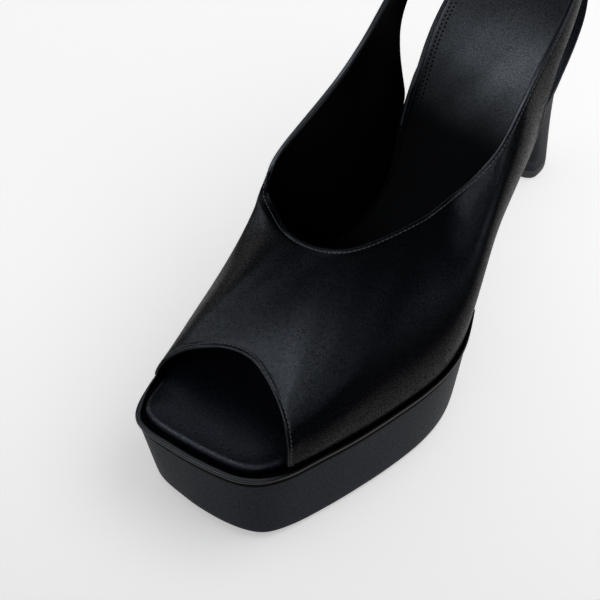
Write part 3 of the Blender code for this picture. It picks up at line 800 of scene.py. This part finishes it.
class Amount:
    """A number that varies over a surface; arithmetic on it adds Math nodes."""

    def __init__(self, tree, socket):
        self.tree = tree
        self.socket = socket

    def math(self, operation, first, second=None):
        node = self.tree.nodes.new("ShaderNodeMath")
        node.operation = operation
        for place, value in enumerate((first, second)):
            if isinstance(value, Amount):
                self.tree.links.new(value.socket, node.inputs[place])
            elif value is not None:
                node.inputs[place].default_value = value
        return Amount(self.tree, node.outputs[0])

    def __add__(self, other):
        return self.math("ADD", self, other)

    def __radd__(self, other):
        return self.math("ADD", other, self)

    def __sub__(self, other):
        return self.math("SUBTRACT", self, other)

    def __rsub__(self, other):
        return self.math("SUBTRACT", other, self)

    def __mul__(self, other):
        return self.math("MULTIPLY", self, other)

    def __rmul__(self, other):
        return self.math("MULTIPLY", other, self)

    def __truediv__(self, other):
        return self.math("DIVIDE", self, other)

    def __rtruediv__(self, other):
        return self.math("DIVIDE", other, self)

    def __lt__(self, other):
        return self.math("LESS_THAN", self, other)

    def sine(self):
        return self.math("SINE", self)

    def fraction(self):
        return self.math("FRACT", self)

    def root(self):
        return self.math("SQRT", self)


class Finish:
    """A material being put together round one Principled shader."""

    def __init__(self, name):
        self.material = bpy.data.materials.new(name)
        self.material.use_nodes = True
        self.tree = self.material.node_tree
        self.shader = self.tree.nodes["Principled BSDF"]

    def node(self, kind, settings=(), sockets=()):
        """Any node: its settings first, then values or links of its sockets."""
        made = self.tree.nodes.new(kind)
        for name, value in dict(settings).items():
            setattr(made, name, value)
        for name, value in dict(sockets).items():
            self.feed(made.inputs[name], value)
        return made

    def feed(self, socket, value):
        if isinstance(value, Amount):
            self.tree.links.new(value.socket, socket)
        elif isinstance(value, bpy.types.NodeSocket):
            self.tree.links.new(value, socket)
        else:
            socket.default_value = value

    def set(self, **sockets):
        """Sockets of the shader, with underscores for the spaces in their names."""
        for name, value in sockets.items():
            self.feed(self.shader.inputs[name.replace("_", " ").title().replace("Ior", "IOR")], value)

    def coordinates(self, kind):
        """Place on the piece in millimetres: its own axes, or along and across its weave."""
        made = self.node("ShaderNodeTexCoord")
        scale = 1.0 if kind == "UV" else 1 / MM
        moved = self.node("ShaderNodeVectorMath", {"operation": "SCALE"}, {"Scale": scale})
        self.tree.links.new(made.outputs[kind], moved.inputs[0])
        return moved.outputs[0]

    def axes(self, vector):
        parts = self.node("ShaderNodeSeparateXYZ", (), {"Vector": vector})
        return [Amount(self.tree, socket) for socket in parts.outputs]

    def noise(self, vector, size, detail):
        """Noise from 0 to 1 whose patches are about a given size in millimetres."""
        made = self.node("ShaderNodeTexNoise", (), {
            "Vector": vector, "Scale": 1.0 / size, "Detail": detail})
        return Amount(self.tree, made.outputs["Fac"])

    def ramp(self, amount, start, end):
        """Soft rise from 0 to 1 between two amounts."""
        made = self.node("ShaderNodeMapRange", {"interpolation_type": "SMOOTHSTEP"}, {
            "Value": amount, "From Min": start, "From Max": end})
        return Amount(self.tree, made.outputs["Result"])

    def blend(self, share, first, second):
        """Colour between two colours."""
        made = self.node("ShaderNodeMix", {"data_type": "RGBA"})
        self.feed(made.inputs[0], share)
        self.feed(made.inputs[6], (*first, 1.0))
        self.feed(made.inputs[7], (*second, 1.0))
        return made.outputs[2]

    def bump(self, height, strength, distance):
        """Surface relief from a height, in millimetres, fed to the shader's normal."""
        made = self.node("ShaderNodeBump", (), {
            "Height": height, "Strength": strength, "Distance": distance * MM})
        self.set(normal=made.outputs[0])


def shades(colour, *levels):
    """Darker and lighter forms of a colour."""
    return [[part * level for part in colour] for level in levels]


def satin(name):
    """Black satin: fine slanted threads, broken by slubs, that take the light unevenly.

    The gloss sits in the coat, whose weight follows the threads; the base adds a soft glow, its colour
    made lighter or darker for each copy as painted sheen.
    """
    rough, gloss, twill, contrast, lift = SATINS[name]
    finish = Finish(name)
    place = finish.coordinates("Object")
    x, y, z = finish.axes(place)
    slubs = finish.noise(place, SLUB_SIZE, 2.0)
    drift = finish.noise(place, SATIN_WEAR, 3.0)
    slant = x * TWILL_SLANT[0] + y * TWILL_SLANT[1] + z * TWILL_SLANT[2] + slubs * SLUB_PUSH
    laid = finish.ramp(x, *TWILL_INNER) * finish.ramp(y, *TWILL_BACK) * finish.ramp(z, *TWILL_LOW)
    lines = (slant * (2 * math.pi / TWILL_PITCH)).sine() * laid * 0.5
    threads = finish.ramp(slubs + lines * twill, 0.3, 0.7)
    # Painted sheen: lift makes this copy's colour lighter or darker than the plain satin's
    finish.set(base_color=finish.blend(threads, *shades(colours().satin, 0.7 * lift, 1.3 * lift)))
    finish.set(roughness=0.50 + (drift - 0.5) * 0.08, specular_ior_level=0.0)
    finish.set(coat_weight=((threads - 0.5) * contrast + 1.0) * gloss, coat_roughness=rough,
               coat_ior=SATIN_IOR)
    finish.bump(threads, 0.3, RELIEF)
    return finish.material


def leather(name, holes=False):
    """Black leather: small grain cells and soft wear, or also needle holes along an edge, darkened with
    painted shade, and a polish.
    """
    rough, gloss, grain, lift = LEATHERS[name]
    finish = Finish(name)
    place = finish.coordinates("Object")
    cells = finish.node("ShaderNodeTexVoronoi", {"feature": "DISTANCE_TO_EDGE"}, {
        "Vector": place, "Scale": 1 / GRAIN_SIZE})
    edge = Amount(finish.tree, cells.outputs["Distance"])
    pores = finish.noise(place, PORE_SIZE, 2.0)
    drift = finish.noise(place, LEATHER_WEAR, 3.0)
    wear_and_hole_shade = drift
    height = edge * 0.5 + pores * 0.5
    if holes:
        u, v = finish.axes(finish.coordinates("UV"))[:2]
        pitch = sizes().hole_pitch / MM
        pricked = 0.0
        for row, shift in HOLE_ROWS:
            along = ((u / pitch + shift).fraction() - 0.5) * pitch
            across = v - row
            away = (along * along + across * across).root()
            pricked = (away < HOLE_RADIUS) + pricked
        height = height - pricked * HOLE_DEPTH
        # Painted shade: the needle holes darken the leather's colour as well
        wear_and_hole_shade = wear_and_hole_shade - pricked * HOLE_DEPTH
        y = finish.axes(place)[1]
        polish = finish.ramp(y + (drift - 0.5) * POLISH_WANDER, *SOCK_POLISH)
        pebbles = finish.ramp(edge * 0.8 + pores * 0.6, *POLISH_GRAIN)
        finish.set(coat_weight=polish * (pebbles + 0.5) * (1.0 - pricked), coat_roughness=POLISH_ROUGH,
                   coat_ior=SOCK_IOR)
    finish.set(base_color=finish.blend(wear_and_hole_shade, *shades(colours().leather, 0.75 * lift, 1.4 * lift)))
    finish.set(roughness=rough + (drift - 0.5) * 0.12, specular_ior_level=gloss)
    finish.bump(height, grain, RELIEF)
    return finish.material


def thread(name):
    """Waxed black thread with its twist."""
    finish = Finish(name)
    x, y, z = finish.axes(finish.coordinates("Object"))
    twist = ((x + y * 0.8 + z) * (2 * math.pi / TWIST_PITCH)).sine() * 0.5 + 0.5
    finish.set(base_color=finish.blend(twist, *shades(colours().thread, 0.6, 1.5)))
    finish.set(roughness=0.38 + twist * 0.08, specular_ior_level=0.25)
    finish.bump(twist, 0.3, TWIST_RELIEF)
    return finish.material


def rubber(name):
    """Matt rubber with a faint moulded grain."""
    finish = Finish(name)
    grain = finish.noise(finish.coordinates("Object"), RUBBER_GRAIN, 3.0)
    finish.set(base_color=finish.blend(grain, *shades(colours().rubber, 0.7, 1.3)))
    finish.set(roughness=0.6 + (grain - 0.5) * 0.2, specular_ior_level=0.4)
    finish.bump(grain, 0.3, RELIEF)
    return finish.material


def floor_paint(name):
    """Pale studio paper with a faint tooth, and a painted glow of light that grows toward the back."""
    finish = Finish(name)
    place = finish.coordinates("Object")
    tooth = finish.noise(place, PAPER_GRAIN, 2.0)
    finish.set(base_color=finish.blend(tooth, *shades(colours().floor, 0.995, 1.0)))
    finish.set(roughness=0.9 + (tooth - 0.5) * 0.05, specular_ior_level=0.0)
    x, y = finish.axes(place)[:2]
    back = finish.ramp(x * FLOOR_BACK[0] + y * FLOOR_BACK[1], *FLOOR_FADE)
    finish.set(emission_color=finish.blend(back, *shades(colours().floor, *FLOOR_GLOW_LEVELS)),
               emission_strength=FLOOR_GLOW)
    return finish.material


class SANDAL_OT_platform(bpy.types.Operator):
    """Covers the platform in satin and lays the leather outsole under it"""
    bl_idname = "sandal.platform"
    bl_label = "Platform and Outsole"

    def execute(self, context):
        piece = rounded_copy("platform", "platform_cover", satin("platform_satin"))
        # The deck and the groove under the bead get painted shade
        piece.data.materials.append(leather("deck_painted_shade"))
        paint_deck_and_groove_shade(piece.data.polygons)
        rounded_copy("outsole", "outsole_leather", leather("outsole_finish"))
        return {"FINISHED"}


class SANDAL_OT_rim(bpy.types.Operator):
    """Rolls the leather bead round the platform's top edge"""
    bl_idname = "sandal.rim"
    bl_label = "Leather Bead"

    def execute(self, context):
        piece = rounded_copy("rim", "rim_bead", leather("rim_leather"))
        reshape(piece, wider_bead)
        bpy.ops.transform.translate(value=(0, 0, -BEAD_SINK))
        bpy.ops.object.transform_apply(location=True, rotation=False, scale=False)
        return {"FINISHED"}


class SANDAL_OT_insole(bpy.types.Operator):
    """Wraps the padded insole in satin and lays the leather sock on it"""
    bl_idname = "sandal.insole"
    bl_label = "Insole and Sock"

    def execute(self, context):
        reshape(rounded_copy("insole", "insole_wrap", satin("insole_satin")), rolled_front)
        dress(sock_piece("sock_pad", leather("sock_leather", holes=True)), "sock", "sock")
        return {"FINISHED"}


def sock_outline():
    """Sock edge: the insole's, drawn in and cut straight across under the vamp."""
    outer = half_edge(INSOLE_OUTER, EDGE_POINTS)
    inner = half_edge(INSOLE_INNER, EDGE_POINTS)
    ring = np.vstack((outer, inner[-2:0:-1]))
    ring = ring - outward(ring) * smooth(SOCK_INSET, ring[:, 1], steady=True)
    half = len(ring) // 2
    sides = []
    for side in (ring[:half + 1], np.vstack((ring[:1], ring[:half - 1:-1]))):
        kept = side[side[:, 1] > SOCK_FRONT]
        front = np.array(((SOCK_FRONT_MIDDLE, SOCK_FRONT), (kept[0, 0], SOCK_FRONT)))
        sides.append(even(np.vstack((front, kept)), SOCK_POINTS // 2))
    ring = np.vstack((sides[0], sides[1][-2:0:-1]))
    near_heel = np.clip((ring[:, 1:] - SOCK_HEEL) / SOCK_HEEL_FADE, 0, 1)
    return ring + (eased(ring, SOCK_EASE_ROUNDS) - ring) * near_heel


def sock_height(ring):
    """Top of the sock with its soft folds, over the insole."""
    top = insole_z(ring[:, 1]) + SEAM_GAP + SOCK_THICK
    for x, y, along, across, turn, depth in SOCK_FOLDS:
        cos, sin = math.cos(math.radians(turn)), math.sin(math.radians(turn))
        dx, dy = ring[:, 0] - x, ring[:, 1] - y
        length = dx * cos + dy * sin
        width = dy * cos - dx * sin
        top = top - depth * np.exp(-(length / along)**2 - (width / across)**2)
    return top


def sock_piece(name, made):
    """Thin leather pad with a rounded edge; its pattern runs along and in from that edge."""
    edge = sock_outline()
    run = chord(np.vstack((edge, edge[:1])))
    run, turn = run[:-1], run[-1]
    rings = []
    reach = []
    for inset, drop in SOCK_SIDE:
        ring = edge - outward(edge) * inset
        rings.append(np.column_stack((ring, sock_height(ring) - drop * SOCK_THICK)))
        reach.append(0.0)
    for inset in SOCK_RINGS:
        ring = edge - outward(edge) * inset
        lip = SOCK_LIP * max(0.0, 1 - inset / SOCK_LIP_REACH)
        rise = SOCK_CROWN * SOCK_CROWN_RATE * inset
        rings.append(np.column_stack((ring, sock_height(ring) + rise - lip)))
        reach.append(inset)
    inner = edge - outward(edge) * SOCK_RINGS[-1]
    for share in SOCK_SHARES:
        ring = toward_spine(inner, share, SOCK_SPINE, SOCK_HEEL)
        rise = SOCK_CROWN * (1 - SOCK_CROWN_MIDDLE * (1 - share)**2)
        rings.append(np.column_stack((ring, sock_height(ring) + rise)))
        reach.append(SOCK_RINGS[-1] + SOCK_PATTERN * share)
    columns = len(edge)
    points = np.stack(rings, axis=1)
    faces = [tuple(face) for face in grid_faces(columns, len(rings))]
    top = np.arange(columns) * len(rings) + len(rings) - 1
    foot = np.arange(columns) * len(rings)
    half = columns // 2
    for ring, turned in ((top, False), (foot, True)):
        for i in range(half):
            face = [ring[i], ring[i + 1], ring[-i - 1], ring[-i]]
            if i == 0:
                face = [ring[0], ring[1], ring[-1]]
            if i == half - 1:
                face = [ring[i], ring[i + 1], ring[-i]]
            faces.append(tuple(face[::-1] if turned else face))
    uv = np.stack(np.broadcast_arrays(run[:, None], np.array(reach)[None, :]), axis=-1)
    return mesh_piece(name, placed(points), faces, [made], uv=uv.reshape(-1, 2), turn=turn)


class SANDAL_OT_upper(bpy.types.Operator):
    """Lasts the satin upper with its lining, turned edges and topstitch rows"""
    bl_idname = "sandal.upper"
    bl_label = "Upper and Stitches"

    def execute(self, context):
        upper = Upper()
        # The lining's leather is its own black, darkened further as painted shade inside the shoe
        made = (satin("upper_satin"), leather("lining_leather"), satin("edge_satin"),
                leather("facing_leather"))
        dress(upper_piece("upper_shell", upper, made), "upper", "upper")
        dress(stitch_rows("topstitch", upper, thread("topstitch_thread")), "upper")
        return {"FINISHED"}


def upper_piece(name, upper, made):
    """Closed shell: satin outside and over the folded edges, lining inside."""
    heights = upper.heights()
    base = upper.at(heights)
    normal = skin_normals(base)
    skin = creased(base, normal, heights, upper)
    columns, rows = heights.shape
    pick = np.unique(np.linspace(0, rows - 1, LINING_ROWS).round().astype(int))
    lined = base[:, pick] - normal[:, pick] * WALL
    rise = {end: unit(base[:, end] - base[:, step]) for end, step in ((0, 1), (-1, -2))}

    def fold(end):
        """Half round from the skin over the edge to the lining, with a thin seam."""
        middle = base[:, end] - normal[:, end] * WALL / 2
        ring = []
        for turn in FOLD_TURNS:
            angle = math.radians(turn)
            round_by = WALL / 2 * (FOLD_SEAM if turn == FOLD_SEAM_TURN else 1.0)
            ring.append(middle + normal[:, end] * math.cos(angle) * round_by
                        + rise[end] * math.sin(angle) * round_by * FOLD_HEIGHT)
        return np.stack(ring, axis=1)

    top = fold(-1)
    foot = fold(0)
    loop = np.concatenate((skin, top, lined[:, ::-1], foot[:, ::-1]), axis=1)
    total = loop.shape[1]
    faces = grid_faces(columns, total)
    seam = np.arange(columns)
    close = np.stack((seam * total + total - 1, ((seam + 1) % columns) * total + total - 1,
                      ((seam + 1) % columns) * total, seam * total), axis=-1)
    faces = np.vstack((faces, close))
    seam_row = FOLD_TURNS.index(FOLD_SEAM_TURN)
    inside_from = rows + seam_row
    bands = np.full(total - 1, EDGE)
    bands[:rows - 1] = SKIN
    bands[inside_from:total - 1 - seam_row] = LINING
    bands[inside_from:rows + len(FOLD_TURNS) + FACING_ROWS] = FACING
    slots = np.concatenate((np.tile(bands, columns), np.full(columns, EDGE)))
    return mesh_piece(name, placed(loop), faces, made, slots=slots)


def one_stitch():
    """Points and faces of one stitch, a plump bar along X whose ends dip into the cloth."""
    bpy.ops.object.select_all(action="DESELECT")
    bpy.ops.mesh.primitive_cylinder_add(vertices=STITCH_SIDES, radius=0.5, depth=1.0, end_fill_type="NGON",
                                        rotation=(0, math.pi / 2, 0))
    bar = bpy.context.object
    bpy.ops.object.transform_apply(rotation=True)
    bpy.ops.object.mode_set(mode="EDIT")
    bpy.ops.mesh.select_all(action="SELECT")
    bpy.ops.mesh.bevel(offset=STITCH_BEVEL, segments=2, affect="EDGES")
    bpy.ops.object.mode_set(mode="OBJECT")
    points = vectors_of(bar.data.vertices, "co")
    faces = [tuple(p.vertices) for p in bar.data.polygons]
    bpy.data.objects.remove(bar)
    return points, faces


def stitch_rows(name, upper, made):
    """Topstitches in from the topline and from every free lower edge."""
    inset = sizes().stitch_inset / MM
    level = np.column_stack((np.full(len(upper.tall), inset), upper.tall - inset))
    lines = upper.at(level)
    lift = upper.at(np.column_stack((level[:, :1] + STEP_UP, level[:, 1:] - STEP_UP)))
    toward = [lift[:, 0] - lines[:, 0], lines[:, 1] - lift[:, 1]]
    bar, bar_faces = one_stitch()
    points, faces = [], []
    for row in (0, 1):
        line = np.vstack((lines[:, row], lines[:1, row]))
        up = np.vstack((toward[row], toward[row][:1]))
        free = np.concatenate((upper.free, upper.free[:1])) if row == 0 else np.ones(len(line))
        run = chord(line)
        count = int(run[-1] / (sizes().stitch_pitch / MM))
        for k in range(count):
            at = (k + 0.5) * run[-1] / count
            if np.interp(at, run, free) < SEWN_SHARE:
                continue
            before, here, after = on_line(line, run, at + np.array((-STEP_ALONG, 0.0, STEP_ALONG)))
            along = unit(after - before)
            side = on_line(up, run, at)
            side = unit(side - along * (side @ along))
            out = np.cross(along, side)
            slant = along + side * STITCH_SLANT
            sunk = here - out * (sizes().stitch_dent / MM - STITCH_PROUD)
            body = (bar[:, :1] * slant * (sizes().stitch_length / MM)
                    + bar[:, 1:2] * side * (sizes().stitch_width / MM)
                    + bar[:, 2:] * out * (sizes().stitch_width / MM))
            start = len(points) * len(bar)
            points.append(sunk + body)
            faces.extend(tuple(i + start for i in face) for face in bar_faces)
    return mesh_piece(name, placed(np.vstack(points)), faces, [made])


class SANDAL_OT_heel(bpy.types.Operator):
    """Covers the heel in satin and puts the rubber tip under it"""
    bl_idname = "sandal.heel"
    bl_label = "Heel and Tip"

    def execute(self, context):
        rounded_copy("heel", "heel_cover", satin("heel_satin"))
        rounded_copy("heel_tip", "heel_tip_rubber", rubber("tip_rubber"))
        return {"FINISHED"}


class SANDAL_OT_stage(bpy.types.Operator):
    """Lays the pale floor and sets the softboxes, the room's fill and the camera"""
    bl_idname = "sandal.stage"
    bl_label = "Floor, Lights and Camera"

    def execute(self, context):
        studio = context.scene.sandal_studio
        bpy.ops.object.select_all(action="DESELECT")
        bpy.ops.mesh.primitive_plane_add(size=FLOOR_SIZE, location=(0, 0, 0))
        floor = context.object
        floor.name = "floor"
        floor.data.materials.append(floor_paint("floor_paper"))
        for name, azimuth, elevation, wide, tall, distance, radiance, use in SOFTBOXES:
            toward = seen_from(math.radians(azimuth), math.radians(elevation))
            bpy.ops.object.light_add(type="AREA", location=Vector(studio.aim) + toward * distance)
            box = context.object
            box.name = name
            box.rotation_euler = (-toward).to_track_quat("-Z", "Y").to_euler()
            box.data.shape = "RECTANGLE"
            box.data.size = 2 * distance * math.tan(math.radians(wide / 2))
            box.data.size_y = 2 * distance * math.tan(math.radians(tall / 2))
            box.data.energy = radiance * math.pi * box.data.size * box.data.size_y
            box.data.color = BOX_TINT if use == "gloss" else (1.0, 1.0, 1.0)
            box.visible_diffuse = use == "floor"
            box.visible_glossy = use == "gloss"
        black = Finish("flag_cloth")
        black.set(base_color=(0.0, 0.0, 0.0, 1.0), specular_ior_level=0.0)
        for flag in FLAGS:
            self.dark_flag(black.material, *flag)
        world = bpy.data.worlds.new("room")
        world.use_nodes = True
        fill = world.node_tree.nodes["Background"]
        fill.inputs["Color"].default_value = (1.0, 1.0, 1.0, 1.0)
        fill.inputs["Strength"].default_value = studio.world_level
        world.cycles_visibility.glossy = False
        context.scene.world = world
        back = seen_from(studio.azimuth, studio.elevation)
        bpy.ops.object.camera_add(location=Vector(studio.aim) + back * studio.distance)
        camera = context.object
        camera.name = "photo_camera"
        camera.rotation_euler = (-back).to_track_quat("-Z", "Y").to_euler()
        camera.data.lens = studio.lens
        camera.data.sensor_width = studio.sensor
        camera.data.clip_start = CAMERA_NEAR
        context.scene.camera = camera
        context.scene.view_settings.view_transform = "Standard"
        return {"FINISHED"}

    def dark_flag(self, made, name, azimuth, distance, wide, tall):
        """Stands a card on the floor, seen only in the gloss."""
        place = seen_from(math.radians(azimuth), 0.0) * distance
        bpy.ops.object.select_all(action="DESELECT")
        bpy.ops.mesh.primitive_plane_add(size=1.0, location=(place.x, place.y, tall / 2))
        flag = bpy.context.object
        flag.name = name
        flag.rotation_euler = (math.pi / 2, 0.0, math.radians(azimuth))
        flag.scale = (wide, tall, 1.0)
        flag.data.materials.append(made)
        flag.visible_camera = False
        flag.visible_diffuse = False
        flag.visible_shadow = False


def seen_from(azimuth, elevation):
    """Direction from the shoe toward a camera or light."""
    return Vector((math.sin(azimuth) * math.cos(elevation),
                   -math.cos(azimuth) * math.cos(elevation), math.sin(elevation)))


class SANDAL_PT_panel(bpy.types.Panel):
    """Lists the steps that dress the sandal"""
    bl_idname = "SANDAL_PT_panel"
    bl_label = "Platform Sandal"
    bl_space_type = "VIEW_3D"
    bl_region_type = "UI"
    bl_category = "Sandal"

    def draw(self, context):
        layout = self.layout
        for group in (context.scene.sandal_sizes, context.scene.sandal_colours,
                      context.scene.sandal_studio):
            box = layout.box()
            for name in group.__annotations__:
                box.prop(group, name)
        for step in STEPS:
            layout.operator(step.bl_idname)


STEPS = (SANDAL_OT_platform, SANDAL_OT_rim, SANDAL_OT_insole, SANDAL_OT_upper, SANDAL_OT_heel,
         SANDAL_OT_stage)
GROUPS = (SandalSizes, SandalColours, SandalStudio)


def register():
    for made in GROUPS + STEPS + (SANDAL_PT_panel,):
        bpy.utils.register_class(made)
    bpy.types.Scene.sandal_sizes = bpy.props.PointerProperty(type=SandalSizes)
    bpy.types.Scene.sandal_colours = bpy.props.PointerProperty(type=SandalColours)
    bpy.types.Scene.sandal_studio = bpy.props.PointerProperty(type=SandalStudio)


def unregister():
    for name in ("sandal_studio", "sandal_colours", "sandal_sizes"):
        delattr(bpy.types.Scene, name)
    for made in reversed(GROUPS + STEPS + (SANDAL_PT_panel,)):
        bpy.utils.unregister_class(made)


def main():
    register()
    bpy.ops.sandal.platform()
    bpy.ops.sandal.rim()
    bpy.ops.sandal.insole()
    bpy.ops.sandal.upper()
    bpy.ops.sandal.heel()
    bpy.ops.sandal.stage()


if __name__ == "__main__":
    main()
